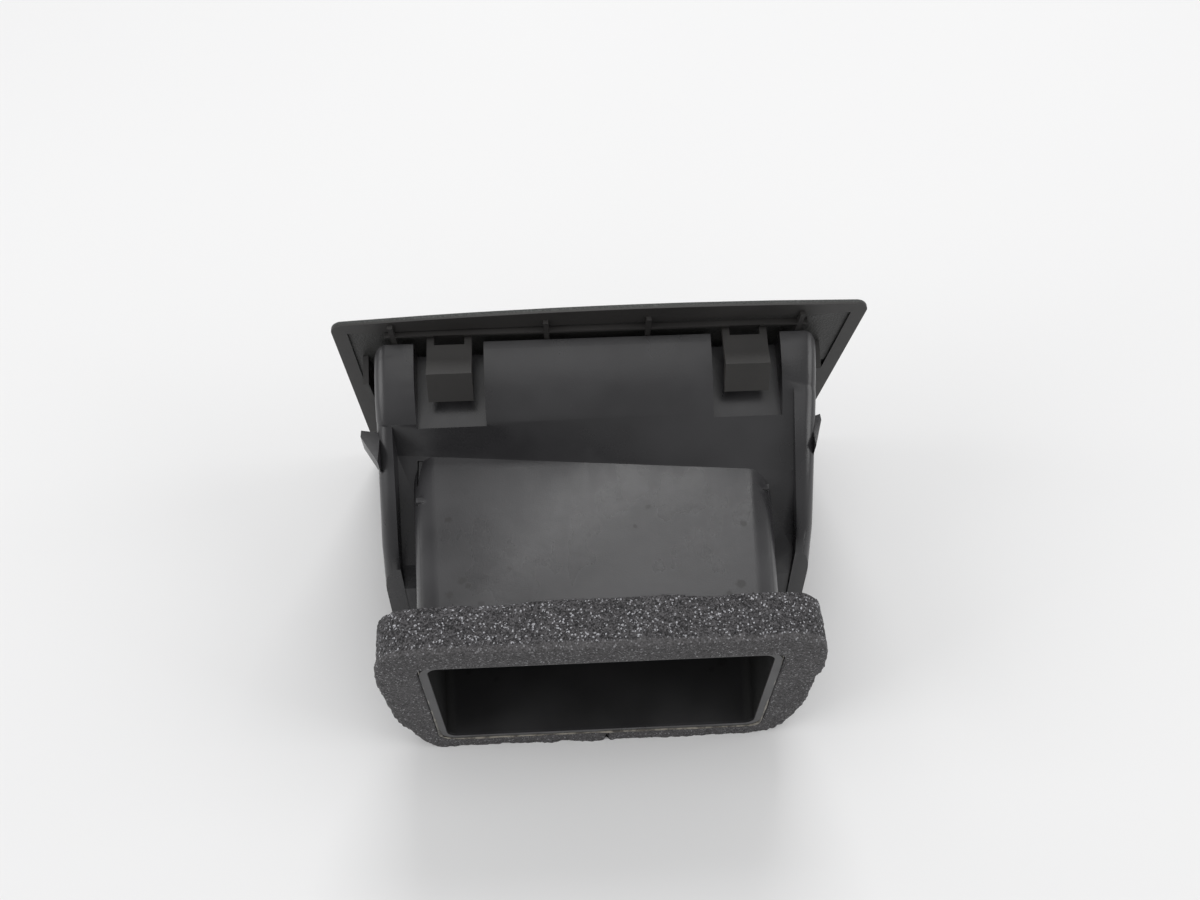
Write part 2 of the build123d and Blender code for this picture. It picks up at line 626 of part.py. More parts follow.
rod_wheel = (wheel_y + crank_dy, wheel_z + crank_dz)
rod_damper = (damper_y + crank_dy, DAMPER_Z + crank_dz)
rod_length = sqrt((rod_damper[0] - rod_wheel[0]) ** 2 + (rod_damper[1] - rod_wheel[1]) ** 2)
with BuildPart() as damper_rod:
    with BuildSketch(Plane.YZ.offset(ROD_X[0])):
        with Locations(
            Location(((rod_wheel[0] + rod_damper[0]) / 2, (rod_wheel[1] + rod_damper[1]) / 2), degrees(rod_angle))
        ):
            SlotCenterToCenter(rod_length, 3.4)
        with Locations(rod_wheel, rod_damper):
            Circle(EYE_R)
            Circle(CRANK_PIN_R + RUN, mode=Mode.SUBTRACT)
    extrude(amount=ROD_X[1] - ROD_X[0])
damper_rod.part.label = "damper_rod"
export_step(damper_rod.part, "parts/damper_rod.step")

duct_in_at_damper = DUCT_IN_W / 2 + DUCT_TAPER * DAMPER_U
shaft_end = CRANK_X[0]
with BuildPart() as damper_shaft:
    with BuildSketch(Plane.YZ.offset(shaft_end)):
        with Locations((damper_y, DAMPER_Z)):
            Circle(SHAFT_R)
    extrude(amount=DUCT_X + duct_in_at_damper + DUCT_WALL - shaft_end)
damper_shaft.part.label = "damper_shaft"
export_step(damper_shaft.part, "parts/damper_shaft.step")

with BuildPart() as damper_crank:
    with BuildSketch(Plane.YZ.offset(CRANK_X[0])):
        with Locations(
            Location((damper_y + crank_dy / 2, DAMPER_Z + crank_dz / 2), degrees(crank_angle))
        ):
            SlotCenterToCenter(CRANK, 2 * EYE_R)
        with Locations((damper_y, DAMPER_Z)):
            Circle(SHAFT_R, mode=Mode.SUBTRACT)
    extrude(amount=CRANK_X[1] - CRANK_X[0])
    with BuildSketch(Plane.YZ.offset(CRANK_X[1] - 0.5)):
        with Locations(rod_damper):
            Circle(CRANK_PIN_R)
    extrude(amount=ROD_X[1] - CRANK_X[1] + 0.3)
damper_crank.part.label = "damper_crank"
export_step(damper_crank.part, "parts/damper_crank.step")

# the flap lies level when open; its long side points to the inlet
flap_long = duct_top - DUCT_WALL - DAMPER_Z - 1.6
flap_short = flap_low - 1.6
FLAP_SIDE = 1.6


def flap_half(distance_along):
    """Half-width of the flap at a distance from its shaft, positive towards the inlet."""
    at_rest = DUCT_IN_W / 2 + DUCT_TAPER * (DAMPER_U - max(distance_along, 0))
    return at_rest - FLAP_SIDE


with BuildPart() as damper_flap:
    with BuildSketch(Plane.XY.offset(DAMPER_Z - FLAP_T / 2)):
        Polygon(
            (DUCT_X - flap_half(0), damper_y - flap_short),
            (DUCT_X + flap_half(0), damper_y - flap_short),
            (DUCT_X + flap_half(0), damper_y),
            (DUCT_X + flap_half(flap_long), damper_y + flap_long),
            (DUCT_X - flap_half(flap_long), damper_y + flap_long),
            (DUCT_X - flap_half(0), damper_y),
            align=None,
        )
    extrude(amount=FLAP_T)
    with BuildSketch(Plane.YZ.offset(DUCT_X - flap_half(0))):
        with Locations((damper_y, DAMPER_Z)):
            Circle(SHAFT_R + 1.4)
    extrude(amount=2 * flap_half(0))
    with BuildSketch(Plane.YZ.offset(DUCT_X - flap_half(0))):
        with Locations((damper_y, DAMPER_Z)):
            Circle(SHAFT_R)
    extrude(amount=2 * flap_half(0), mode=Mode.SUBTRACT)
damper_flap.part.label = "damper_flap"
export_step(damper_flap.part, "parts/damper_flap.step")

# foam strips stuck along the flap's edges, on the faces that meet the seats
SEAL_T = 1.4
SEAL_W = 3.6
with BuildPart() as damper_seal:
    # on the long side's upper face, which closing turns towards the cabin
    with BuildSketch(Plane.XY.offset(DAMPER_Z + FLAP_T / 2)):
        with Locations((DUCT_X, damper_y + flap_long - SEAL_W / 2)):
            Rectangle(2 * flap_half(flap_long), SEAL_W)
        for side in (-1, 1):
            Polygon(
                (DUCT_X + side * flap_half(4.5), damper_y + 4.5),
                (DUCT_X + side * (flap_half(4.5) - SEAL_W), damper_y + 4.5),
                (DUCT_X + side * (flap_half(flap_long) - SEAL_W), damper_y + flap_long - 1),
                (DUCT_X + side * flap_half(flap_long), damper_y + flap_long - 1),
                align=None,
            )
    extrude(amount=SEAL_T)
    # and on the short side's lower face
    with BuildSketch(Plane.XY.offset(DAMPER_Z - FLAP_T / 2 - SEAL_T)):
        with Locations((DUCT_X, damper_y - flap_short + SEAL_W / 2)):
            Rectangle(2 * flap_half(0), SEAL_W)
        for side in (-1, 1):
            with Locations((DUCT_X + side * (flap_half(0) - SEAL_W / 2), damper_y - (flap_short + 4.5) / 2)):
                Rectangle(SEAL_W, flap_short - 4.5)
    extrude(amount=SEAL_T)
damper_seal.part.label = "damper_seal"
export_step(damper_seal.part, "parts/damper_seal.step")

with BuildPart() as damper_bushes:
    for side in (-1, 1):
        outer_face = DUCT_X + side * (duct_in_at_damper + DUCT_WALL)
        start = outer_face if side < 0 else outer_face - DUCT_WALL
        with BuildSketch(Plane.YZ.offset(start)):
            with Locations((damper_y, DAMPER_Z)):
                Circle(shaft_hole_r)
                Circle(SHAFT_R + RUN, mode=Mode.SUBTRACT)
        extrude(amount=DUCT_WALL)
damper_bushes.part.label = "damper_bushes"
export_step(damper_bushes.part, "parts/damper_bushes.step")

# ---------------------------------------------------------------- foam round the inlet
FOAM_W = 12.0             # along the duct
FOAM_SIDE = 10.8
FOAM_TOP = 8.6
TAPE_T = 0.2
foam_out_half = duct_half + FOAM_SIDE
with BuildPart() as inlet_foam:
    with BuildSketch(Plane.XZ.offset(-INLET_Y + 0.4)):
        with BuildLine():
            Polyline(
                (DUCT_X - foam_out_half + 7.0, 0),
                (DUCT_X + foam_out_half - 7.0, 0),
                (DUCT_X + foam_out_half, 20.0),
                (DUCT_X + foam_out_half, duct_top + FOAM_TOP - 5.0),
                (DUCT_X + foam_out_half - 6.0, duct_top + FOAM_TOP),
                (DUCT_X - foam_out_half + 6.0, duct_top + FOAM_TOP),
                (DUCT_X - foam_out_half, duct_top + FOAM_TOP - 5.0),
                (DUCT_X - foam_out_half, 20.0),
                close=True,
            )
        make_face()
        with Locations((DUCT_X, duct_mid_z)):
            half_in = duct_half + DUCT_TAPER * FOAM_W + TAPE_T
            RectangleRounded(
                2 * half_in, DUCT_IN_H + 2 * (DUCT_WALL + TAPE_T), DUCT_R + TAPE_T, mode=Mode.SUBTRACT
            )
    extrude(amount=FOAM_W)
    fillet(inlet_foam.edges().filter_by(Axis.Y).filter_by(lambda e: abs(e.center().X - DUCT_X) > 50), 4.5)
inlet_foam.part.label = "inlet_foam"
export_step(inlet_foam.part, "parts/inlet_foam.step")

with BuildPart() as foam_tape:
    for distance in (0.8, FOAM_W):
        with BuildSketch(Plane.XZ.offset(distance - INLET_Y)):
            with Locations((DUCT_X, duct_mid_z)):
                RectangleRounded(
                    2 * (duct_half + DUCT_TAPER * distance + TAPE_T * 0.75),
                    DUCT_IN_H + 2 * (DUCT_WALL + TAPE_T * 0.75),
                    DUCT_R + TAPE_T * 0.75,
                )
    loft(ruled=True)
    add(duct_outside.part, mode=Mode.SUBTRACT)
foam_tape.part.label = "foam_tape"
export_step(foam_tape.part, "parts/foam_tape.step")
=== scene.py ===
# %% [markdown]
# # A car's dashboard air outlet, seen from behind
#
# The real object is moulded from black plastic: a bezel that leans back, a housing with two pockets for
# snap arms, and a short duct with a strip of open-cell foam round its inlet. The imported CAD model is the
# frame, and this lesson dresses it: smooth moulded edges, plastic that shows handling, and real foam.

# %% Load the frame and note its box
import json
from math import cos, pi, radians, sin

import bpy
import numpy as np
from mathutils import Matrix, Vector


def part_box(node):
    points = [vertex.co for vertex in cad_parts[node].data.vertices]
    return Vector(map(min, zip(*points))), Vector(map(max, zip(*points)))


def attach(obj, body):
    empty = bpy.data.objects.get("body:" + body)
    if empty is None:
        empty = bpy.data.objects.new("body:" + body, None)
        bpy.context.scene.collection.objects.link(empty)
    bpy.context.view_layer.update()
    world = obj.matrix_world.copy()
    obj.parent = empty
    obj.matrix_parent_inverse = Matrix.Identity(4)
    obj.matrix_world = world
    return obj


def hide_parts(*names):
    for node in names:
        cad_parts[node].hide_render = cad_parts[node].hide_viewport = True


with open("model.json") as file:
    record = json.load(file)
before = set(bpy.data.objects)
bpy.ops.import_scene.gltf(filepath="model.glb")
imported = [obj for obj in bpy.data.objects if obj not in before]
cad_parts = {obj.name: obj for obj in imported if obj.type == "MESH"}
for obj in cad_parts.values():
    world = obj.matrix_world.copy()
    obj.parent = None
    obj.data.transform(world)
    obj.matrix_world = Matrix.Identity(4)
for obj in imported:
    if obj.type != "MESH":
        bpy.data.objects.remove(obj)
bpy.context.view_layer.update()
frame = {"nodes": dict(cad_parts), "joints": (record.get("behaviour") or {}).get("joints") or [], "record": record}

MM = 0.001

# %% [markdown]
# ## Camera
#
# The object stands on a table and is looked at steeply from above, over the duct's inlet. A camera can be
# placed by angles, but a place with a forward and an up direction says it without any order of turns. The
# lens is 31.5 mm on a 36 mm sensor, an ordinary short zoom.

# %% Camera over the inlet
inlet_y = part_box("housing")[1][1]
CAMERA_PLACE = Vector((8.05 * MM, inlet_y + 107.54 * MM, 310.2 * MM))
CAMERA_FORWARD = Vector((-0.0289, -0.5658, -0.8240)).normalized()
CAMERA_UP = Vector((-0.0373, -0.8232, 0.5665))
camera_data = bpy.data.cameras.new("camera")
camera_data.lens = 31.52
camera_data.sensor_width = 36.0
camera_data.sensor_fit = "HORIZONTAL"
camera = bpy.data.objects.new("camera", camera_data)
bpy.context.scene.collection.objects.link(camera)
right = CAMERA_FORWARD.cross(CAMERA_UP).normalized()
true_up = right.cross(CAMERA_FORWARD).normalized()
camera.matrix_world = Matrix.Translation(CAMERA_PLACE) @ Matrix(
    (right, true_up, -CAMERA_FORWARD)
).transposed().to_4x4()
bpy.context.scene.camera = camera
print("camera at", [round(v, 3) for v in camera.location])

# %% [markdown]
# ## Shader maths as expressions
#
# A node material is a small program. Wiring every Math node by hand hides the idea, so one class wraps a
# socket and lets numbers and sockets be added and multiplied as in Python. One method makes every other
# node: its settings first, and then the values or links of its sockets.


# %% A socket that does arithmetic
class Socket:
    """A value in a node tree. Its operators add Math nodes."""

    def __init__(self, tree, socket):
        self.tree, self.socket = tree, socket

    def math(self, operation, *others):
        return self.tree.node("ShaderNodeMath", {"operation": operation}, dict(enumerate((self, *others))))[0]

    def __add__(self, other):
        return self.math("ADD", other)

    def __sub__(self, other):
        return self.math("SUBTRACT", other)

    def __mul__(self, other):
        return self.math("MULTIPLY", other)

    def __rsub__(self, other):
        return (self * -1.0) + other

    __radd__ = __add__
    __rmul__ = __mul__

    def over(self, low, high):
        """0 below low, 1 above high, and smooth between."""
        made = self.tree.node(
            "ShaderNodeMapRange",
            {"interpolation_type": "SMOOTHSTEP"},
            {"Value": self, "From Min": low, "From Max": high},
        )
        return made["Result"]


class Outputs:
    """The output sockets of one node, by name or by number."""

    def __init__(self, tree, node):
        self.tree, self.made = tree, node

    def __getitem__(self, key):
        return Socket(self.tree, self.made.outputs[key])


class Shader:
    """One material's node tree with its Principled surface."""

    def __init__(self, name, **constants):
        self.material = bpy.data.materials.new(name)
        self.material.use_nodes = True
        self.nodes = self.material.node_tree.nodes
        self.links = self.material.node_tree.links
        self.surface = self.nodes["Principled BSDF"]
        self.place = self.node("ShaderNodeTexCoord")["Object"]
        for socket, value in constants.items():
            self.surface.inputs[socket.replace("_", " ")].default_value = value

    def node(self, kind, settings=None, inputs=None):
        """Any node: settings such as its operation, then its sockets' values or links."""
        made = self.nodes.new(kind)
        for key, value in (settings or {}).items():
            setattr(made, key, value)
        for key, value in (inputs or {}).items():
            self.feed(made.inputs[key], value)
        return Outputs(self, made)

    def feed(self, socket, value):
        if isinstance(value, Socket):
            self.links.new(value.socket, socket)
        else:
            socket.default_value = value

    def set(self, **values):
        """Feed the surface's own sockets."""
        for key, value in values.items():
            self.feed(self.surface.inputs[key.replace("_", " ")], value)

    def stretched(self, scale, at=(0, 0, 0)):
        """Object coordinates, scaled by a vector round a place."""
        return self.node("ShaderNodeMapping", {}, {"Vector": self.place, "Scale": scale, "Location": at})[0]

    def noise(self, size, detail=3.0, rough=0.5, place=None):
        """Noise whose lumps are about size metres."""
        return self.node(
            "ShaderNodeTexNoise", {},
            {"Vector": place or self.place, "Scale": 1 / size, "Detail": detail, "Roughness": rough},
        )[0]

    def cells(self, size, feature="F1", output="Distance", place=None, randomness=1.0):
        """Cell pattern whose cells are about size metres."""
        return self.node(
            "ShaderNodeTexVoronoi", {"feature": feature},
            {"Vector": place or self.place, "Scale": 1 / size, "Randomness": randomness},
        )[output]

    def mix(self, share, first, second):
        """A colour between two colours or sockets."""
        made = self.node("ShaderNodeMix", {"data_type": "RGBA"}, {0: share})
        for index, value in ((6, first), (7, second)):
            self.feed(made.made.inputs[index], (*value, 1) if isinstance(value, tuple) else value)
        return Socket(self, made.made.outputs[2])

    def bump(self, height, depth, strength=1.0, below=None):
        """A bump of that depth in metres, on top of another bump."""
        inputs = {"Height": height, "Distance": depth, "Strength": strength}
        if below:
            inputs["Normal"] = below
        return self.node("ShaderNodeBump", {}, inputs)[0]

    def axis(self, name):
        """One of the X, Y and Z of the place on the object, in metres."""
        return self.node("ShaderNodeSeparateXYZ", {}, {0: self.place})[name]


print("shader tools ready")

# %% [markdown]
# ## Moulded plastic
#
# A black vent part isn't one colour. Hands leave a blotchy film that changes the gloss more than the colour,
# the mould leaves a very fine texture, and a few scuffs and dust specks show. So the base colour hardly
# moves, the roughness carries the film, and a fine bump breaks up the highlights.

# %% Plastic finishes
GRAIN = 0.35 * MM


def moulded(name, colour, rough, film=0.14, film_size=26 * MM, dust=0.35, texture=0.018 * MM):
    """Moulded black plastic. Roughness rises and falls with a large film noise and a small smear noise,
    dust specks lighten the colour where a cell pattern is near its centres, and two noises make the bump."""
    shader = Shader(name, Specular_IOR_Level=0.5)
    patches = shader.noise(film_size, 2.0, 0.45)
    smears = shader.noise(6 * MM, 4.0, 0.6, shader.stretched((1.0, 0.35, 1.0)))
    specks = 1 - shader.cells(3.1 * MM).over(0.03, 0.10)
    thin = shader.noise(9 * MM, 3.0, 0.6).over(0.56, 0.70)
    darker, lighter = tuple(c * 0.86 for c in colour), tuple(c * 1.18 for c in colour)
    tint = shader.mix(patches.over(0.35, 0.7), darker, lighter)
    dusty = shader.mix(specks * thin * dust, tint, tuple(c * 2.2 + 0.03 for c in colour))
    gloss = (patches - 0.5) * (film * 2.0) + (smears - 0.5) * (film * 0.9) + rough
    fine = shader.bump(shader.noise(GRAIN, 2.0, 0.6), texture)
    normal = shader.bump(shader.noise(5 * MM, 2.0, 0.5), 0.05 * MM, 0.6, fine)
    shader.set(Base_Color=dusty, Roughness=gloss, Normal=normal)
    return shader


def marked(shader, marks, colour, rough_shift=0.0):
    """Small smudges on a finish: each (x, y, radius) is a spot in plan whose rim a noise makes ragged."""
    ragged = shader.noise(1.6 * MM, 4.0, 0.65)
    parts = shader.node("ShaderNodeSeparateXYZ", {}, {0: shader.place})
    total = None
    for x, y, radius in marks:
        across, along = parts["X"] - x, parts["Y"] - y
        distance = (across * across + along * along).math("SQRT") + (ragged - 0.5) * (radius * 1.7)
        spot = 1 - distance.over(radius * 0.45, radius)
        total = spot if total is None else total.math("MAXIMUM", spot)
    base = shader.surface.inputs["Base Color"].links[0].from_socket
    shader.set(Base_Color=shader.mix(total * 0.8, Socket(shader, base), colour))
    if rough_shift:
        rough = Socket(shader, shader.surface.inputs["Roughness"].links[0].from_socket)
        shader.set(Roughness=rough + total * rough_shift)
    return shader


BLACK = (0.031, 0.0305, 0.0325)
housing_finish = moulded("housing_plastic", BLACK, 0.31, film=0.20, film_size=22 * MM)
carrier_finish = moulded("carrier_plastic", (0.016, 0.016, 0.017), 0.45, film=0.06)
vane_finish = moulded("vane_plastic", (0.018, 0.018, 0.019), 0.40, film=0.05, texture=0.012 * MM)
flap_finish = moulded("flap_plastic", (0.018, 0.018, 0.018), 0.5, film=0.08)
knob_finish = moulded("knob_plastic", (0.022, 0.022, 0.023), 0.34, film=0.06)
acetal_finish = moulded("acetal", (0.55, 0.53, 0.47), 0.42, film=0.08, dust=0.1)
print(len(bpy.data.materials), "finishes")

# %% [markdown]
# ## Floor and light
#
# A pale sheet and large soft lamps, as for a catalogue picture. The plastic is nearly black, so most of what
# is seen on it is the reflection of what is above: one big panel beyond the bezel gives the grey sheen on the
# duct's top, and the pale surroundings fill the rest.

# %% Stage
floor_mesh = bpy.data.meshes.new("floor")
REACH = 4.0
floor_mesh.from_pydata(
    [(-REACH, -REACH, 0), (REACH, -REACH, 0), (REACH, REACH, 0), (-REACH, REACH, 0)], [], [(0, 1, 2, 3)]
)
floor = bpy.data.objects.new("floor", floor_mesh)
bpy.context.scene.collection.objects.link(floor)
pale = Shader("pale_sheet", Roughness=0.7, Specular_IOR_Level=0.25)
pale.set(Base_Color=pale.mix(pale.noise(0.35, 2.0, 0.4), (0.79, 0.79, 0.795), (0.83, 0.83, 0.83)))
floor.data.materials.append(pale.material)


def soft_lamp(name, place, aim, size, watts):
    """A square area lamp at a place, turned to its aim."""
    data = bpy.data.lights.new(name, "AREA")
    data.size = size
    data.energy = watts
    lamp = bpy.data.objects.new(name, data)
    bpy.context.scene.collection.objects.link(lamp)
    lamp.location = place
    lamp.rotation_euler = (Vector(aim) - Vector(place)).to_track_quat("-Z", "Y").to_euler()
    return lamp


soft_lamp("panel_behind", (-0.10, -0.95, 1.20), (0, 0, 0.05), 0.75, 9.0)
soft_lamp("panel_overhead", (0.05, 0.15, 1.30), (0, 0, 0.05), 0.9, 2.6)
soft_lamp("panel_left", (1.15, 0.25, 0.70), (0, 0, 0.05), 0.8, 6.4)
soft_lamp("panel_right", (-1.15, 0.20, 0.75), (0, 0, 0.05), 0.8, 5.6)
world = bpy.data.worlds.new("surroundings")
world.use_nodes = True
world.node_tree.nodes["Background"].inputs["Color"].default_value = (1.0, 1.0, 1.0, 1)
world.node_tree.nodes["Background"].inputs["Strength"].default_value = 0.40
bpy.context.scene.world = world
bpy.context.scene.view_settings.view_transform = "Standard"
print("stage and", len(bpy.data.lights), "lamps")

# %% [markdown]
# ## Softened edges on the moulded shells
#
# The CAD shells have the right shape, but a real moulding has no sharp edge: each one is rounded by half a
# millimetre or more, and the highlight along it is what tells the eye it is plastic. A copy of the CAD mesh
# is merged, its flat faces are joined, and a Bevel modifier rounds what is left.


# %% A merged and bevelled copy of a CAD node
def moulded_copy(node, name, width, finish, body="root", angle=28, segments=3):
    """A copy of a CAD node's mesh: doubled vertices merged, coplanar faces joined, edges rounded to width."""
    import bmesh
    source = frame["nodes"][node]
    mesh = bpy.data.meshes.new(name)
    work = bmesh.new()
    work.from_mesh(source.data)
    bmesh.ops.remove_doubles(work, verts=work.verts, dist=0.002 * MM)
    bmesh.ops.dissolve_limit(
        work, angle_limit=radians(0.6), use_dissolve_boundaries=False, verts=work.verts, edges=work.edges
    )
    work.to_mesh(mesh)
    work.free()
    piece = bpy.data.objects.new(name, mesh)
    bpy.context.scene.collection.objects.link(piece)
    for polygon in mesh.polygons:
        polygon.use_smooth = True
    mesh.set_sharp_from_angle(angle=radians(angle))
    rounding = piece.modifiers.new("rounding", "BEVEL")
    rounding.width = width
    rounding.segments = segments
    rounding.limit_method = "ANGLE"
    rounding.angle_limit = radians(angle)
    rounding.harden_normals = True
    rounding.use_clamp_overlap = True
    mesh.materials.clear()
    mesh.materials.append(finish.material)
    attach(piece, body)
    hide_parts(node)
    print(name, len(mesh.polygons), "faces before its rounding")
    return piece


# %% [markdown]
# ## Housing and bezel
#
# The housing is one big moulding: black outside with a film of dust and hand marks on the duct, and inside
# the duct its colour is painted near black as painted shade, and made duller. The bezel is leather-grained in
# front, as the dashboard round it would be, and smooth behind. One node mask, made from the place on the object,
# tells the two areas of each apart.

# %% The housing's finish: painted shade inside the duct, and stains on the duct's top
duct_low, duct_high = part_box("inlet_foam")
duct_x = (duct_low[0] + duct_high[0]) / 2
DUCT_WIDEN = 0.074                                 # half-width gained per length away from the inlet
DUCT_CLEAR = (45.2 * MM, 8.6 * MM, 57.0 * MM)      # half-width, floor and roof of the inside


def inside_duct(shader):
    """1 inside the duct's clear section, 0 outside it: product of four soft steps on X, Y and Z."""
    x, y, z = shader.axis("X"), shader.axis("Y"), shader.axis("Z")
    soft = 0.4 * MM
    across = (x - duct_x).math("ABSOLUTE")
    width = (inlet_y - y) * DUCT_WIDEN + DUCT_CLEAR[0]
    within = 1 - (across - width).over(0.0, 2 * soft)
    behind = 1 - (y - inlet_y).over(-2.5 * soft, -soft)
    above = (z - DUCT_CLEAR[1]).over(-2 * soft, 0.0)
    below = 1 - (z - DUCT_CLEAR[2]).over(0.0, 2 * soft)
    return within * behind * above * below


STAINS = [  # across from the duct's middle, distance from the inlet, radius, all in mm
    (40.5, 43.0, 1.3), (36.0, 24.0, 1.4), (34.5, 22.4, 1.1), (23.6, 27.0, 1.0), (39.3, 20.0, 1.5),
    (31.0, 17.0, 1.2), (-15.0, 44.5, 1.1), (-11.0, 38.5, 0.9), (-41.0, 38.0, 1.2), (-38.0, 19.5, 1.8),
    (-34.5, 17.0, 1.2),
]
housing_finish = marked(
    housing_finish,
    [(duct_x + x * MM, inlet_y - u * MM, r * MM) for x, u, r in STAINS],
    (0.010, 0.009, 0.009), 0.08,
)
# Painted shade: this mask picks the inside of the duct, whose colour is painted near black
duct_shade_mask = inside_duct(housing_finish)
outside_colour = Socket(housing_finish, housing_finish.surface.inputs["Base Color"].links[0].from_socket)
outside_gloss = Socket(housing_finish, housing_finish.surface.inputs["Roughness"].links[0].from_socket)
# Inside the duct the base colour is painted shade, not the plastic's own colour
housing_finish.set(
    Base_Color=housing_finish.mix(duct_shade_mask, outside_colour, (0.0035, 0.0035, 0.0035)),
    Roughness=outside_gloss + duct_shade_mask * 0.35,
)
moulded_copy("housing", "housing_shell", 0.8 * MM, housing_finish)

# %% The bezel's finish: leather grain in front and round the edge, smooth behind
LEAN = radians(12.5)


def leather(shader, size=0.95 * MM, depth=0.16 * MM):
    """Leather grain: cells of two sizes, their borders low and their middles high."""
    wander = shader.noise(2.2 * MM, 2.0, 0.5)
    borders = shader.cells(size, "DISTANCE_TO_EDGE").over(0.02, 0.32)
    small = shader.cells(size * 0.55, "F1").over(0.1, 0.7)
    return shader.bump(borders * 0.75 + small * 0.25 + wander * 0.3, depth)


bezel_finish = moulded("bezel_plastic", (0.026, 0.0245, 0.0235), 0.52, film=0.08)
bezel_y, bezel_z = bezel_finish.axis("Y"), bezel_finish.axis("Z")
foot_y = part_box("bezel")[0][1]
depth_behind = (bezel_y - foot_y) * cos(LEAN) - bezel_z * sin(LEAN)
front = 1 - depth_behind.over(1.0 * MM, 1.3 * MM)
smooth_normal = Socket(bezel_finish, bezel_finish.surface.inputs["Normal"].links[0].from_socket)
grained = leather(bezel_finish)
blend = bezel_finish.node("ShaderNodeMix", {"data_type": "VECTOR"}, {0: front})
bezel_finish.feed(blend.made.inputs[4], smooth_normal)
bezel_finish.feed(blend.made.inputs[5], grained)
bezel_colour = Socket(bezel_finish, bezel_finish.surface.inputs["Base Color"].links[0].from_socket)
bezel_finish.set(
    Normal=Socket(bezel_finish, blend.made.outputs[1]),
    Base_Color=bezel_finish.mix(front, bezel_colour, (0.034, 0.036, 0.034)),
)
moulded_copy("bezel", "bezel_plate", 0.35 * MM, bezel_finish)

# %% [markdown]
# ## Foam gasket
#
# A strip of open-cell foam is wound round the duct's end and stuck down. Its cut faces are a mass of tiny
# broken cells, whose glitter is painted into the colour as specks of painted highlight and whose hollows are
# painted darker than the struts as painted shade; its corners round off, and it is squeezed flat where it
# rests on the table. A torus-like grid does it: one parameter runs round the duct and the other round the strip's
# section. Lumps of four sizes then move the surface along its normals, so the ragged outline is real geometry.


# %% Lattice noise for whole arrays
LATTICE = 61


def lumps(points, size, seed):
    """Smooth random lumps from -1 to 1: random values on a cubic lattice of that size, blended between its
    eight corners with smoothstep weights."""
    table = np.random.default_rng(seed).uniform(-1, 1, (LATTICE,) * 3)
    cell = points / size
    corner = np.floor(cell).astype(int)
    share = cell - corner
    share = share * share * (3 - 2 * share)
    total = np.zeros(points.shape[:-1])
    for i in (0, 1):
        for j in (0, 1):
            for k in (0, 1):
                weight = np.ones(points.shape[:-1])
                for axis, step in enumerate((i, j, k)):
                    weight = weight * (share[..., axis] if step else 1 - share[..., axis])
                at = (corner + (i, j, k)) % LATTICE
                total += weight * table[at[..., 0], at[..., 1], at[..., 2]]
    return total


def rounded_loop(corners, radius, count):
    """A closed polygon walked at even steps, and its corners rounded by a circular Gaussian average."""
    corners = np.array(corners, float)
    closed = np.vstack([corners, corners[:1]])
    run = np.concatenate([[0], np.cumsum(np.linalg.norm(np.diff(closed, axis=0), axis=1))])
    at = np.linspace(0, run[-1], count, endpoint=False)
    loop = np.stack([np.interp(at, run, closed[:, k]) for k in (0, 1)], axis=1)
    step = run[-1] / count
    distance = np.minimum(np.arange(count), count - np.arange(count)) * step
    kernel = np.exp(-0.5 * (distance / (radius * 0.5)) ** 2)
    kernel /= kernel.sum()
    spectrum = np.fft.fft(kernel)[:, None]
    return np.real(np.fft.ifft(np.fft.fft(loop, axis=0) * spectrum, axis=0))


def grid_piece(name, points, finish, body, wrap=(True, True), smooth=True):
    """A mesh from a grid of points, rows by columns, closed on itself along each parameter that wraps. With
    the parameters as they run in this file, the faces come out turned inwards."""
    rows, columns = points.shape[:2]
    index = np.arange(rows * columns).reshape(rows, columns)
    down = np.roll(index, -1, 0) if wrap[0] else index[1:]
    first = index if wrap[0] else index[:-1]
    faces = np.stack([first, down, np.roll(down, -1, 1), np.roll(first, -1, 1)], axis=-1)
    if not wrap[1]:
        faces = faces[:, :-1]
    mesh = bpy.data.meshes.new(name)
    mesh.from_pydata(points.reshape(-1, 3).tolist(), [], faces.reshape(-1, 4).tolist())
    mesh.polygons.foreach_set("use_smooth", [smooth] * len(mesh.polygons))
    mesh.materials.append(finish.material)
    piece = bpy.data.objects.new(name, mesh)
    bpy.context.scene.collection.objects.link(piece)
    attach(piece, body)
    print(name, len(mesh.polygons), "faces")
    return piece


def grid_normals(points):
    """Unit normals of a grid that is closed both ways: the cross product of its two central differences."""
    along = np.roll(points, -1, 0) - np.roll(points, 1, 0)
    around = np.roll(points, -1, 1) - np.roll(points, 1, 1)
    normal = np.cross(along, around)
    return normal / np.maximum(np.linalg.norm(normal, axis=-1, keepdims=True), 1e-12)


# %% The foam's finish: cells, pits, painted shade in the hollows and painted glints
foam_finish = Shader("gasket_foam", Roughness=0.75, Specular_IOR_Level=0.6)
CELL = 0.70 * MM
end_face = foam_finish.axis("Y").over(inlet_y - 1.4 * MM, inlet_y - 0.5 * MM)
WOBBLE_SCALE = 900.0
wobble = foam_finish.node(
    "ShaderNodeTexNoise", {}, {"Vector": foam_finish.place, "Scale": WOBBLE_SCALE}
)["Color"]
shift = foam_finish.node("ShaderNodeVectorMath", {"operation": "SCALE"}, {0: wobble, "Scale": 0.35 * MM})[0]
warped = foam_finish.node("ShaderNodeVectorMath", {"operation": "ADD"}, {0: foam_finish.place, 1: shift})[0]
pit = foam_finish.cells(CELL, place=warped)
